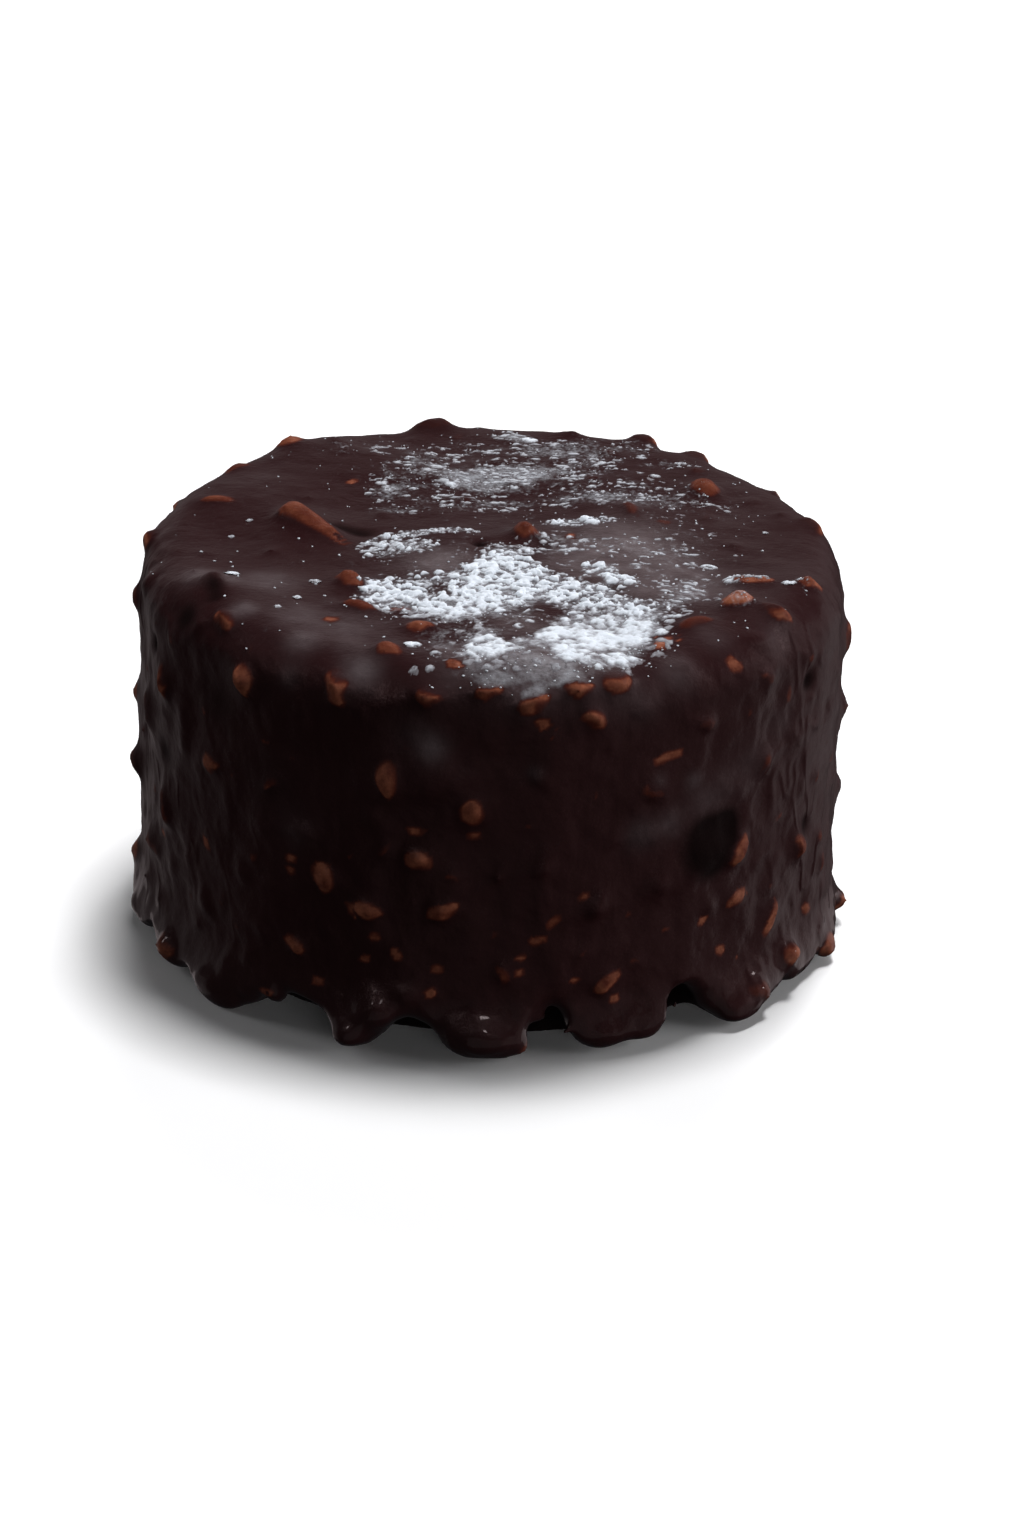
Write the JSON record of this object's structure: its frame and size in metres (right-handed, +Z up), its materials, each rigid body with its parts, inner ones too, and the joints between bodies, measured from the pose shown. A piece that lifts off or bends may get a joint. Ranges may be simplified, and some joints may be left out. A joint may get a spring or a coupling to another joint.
{
  "type": "entremet",
  "caption": "Round single-portion mousse cake under a thick dark chocolate coat with chopped nuts in it, which ends in drips round the foot.",
  "frame": {"origin": "middle of the underside, on the surface that the cake stands on", "axes": "+Z up; the front of the cake, where the sugar patch runs to the rim, looks along -Y; +X to the right seen from the front"},
  "size_m": [0.0779, 0.0767, 0.0447],
  "materials": {
    "dark_chocolate": "satin dark chocolate coat, wetter towards the foot, with reddish-brown nut tips and a dusting of icing sugar on top"
  },
  "bodies": {
    "root": {"entremet": "dark_chocolate"}
  },
  "joints": []
}
